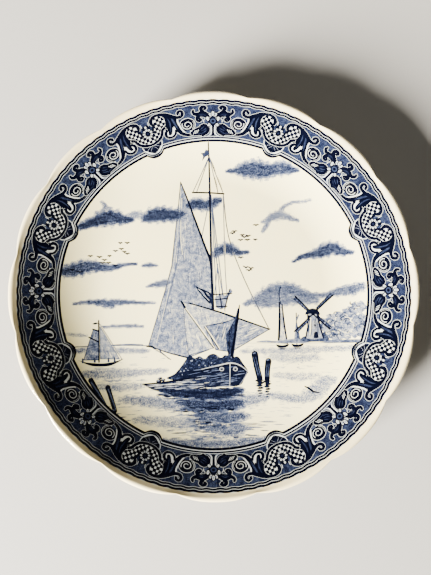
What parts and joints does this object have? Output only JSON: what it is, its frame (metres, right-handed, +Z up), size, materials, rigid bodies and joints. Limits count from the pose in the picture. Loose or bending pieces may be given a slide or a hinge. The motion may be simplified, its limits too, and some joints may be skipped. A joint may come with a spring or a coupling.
{
  "type": "souvenir plate",
  "caption": "Scalloped round wall plate of glazed earthenware with a sloping printed border, a printed well and a pierced foot ring.",
  "frame": {"origin": "centre of the foot ring's resting face, on the plate's axis", "axes": "+Z up along the plate's axis, out of the face; +Y towards the sky of the printed scene, which is the top when the plate hangs on a wall; +X to the right of the scene"},
  "size_m": [0.39, 0.39, 0.041],
  "materials": {
    "cream_glaze": "glossy cream glaze over white earthenware",
    "scene_blue": "cobalt blue print under a glossy clear glaze",
    "border_blue": "dense cobalt blue print under a glossy clear glaze"
  },
  "bodies": {
    "root": {"earthenware_body": "cream_glaze", "scene_print": "scene_blue", "border_print_1": "border_blue", "border_print_2": "border_blue", "border_print_3": "border_blue", "border_print_4": "border_blue", "border_print_5": "border_blue", "border_print_6": "border_blue", "border_print_7": "border_blue", "border_print_8": "border_blue"}
  },
  "joints": []
}
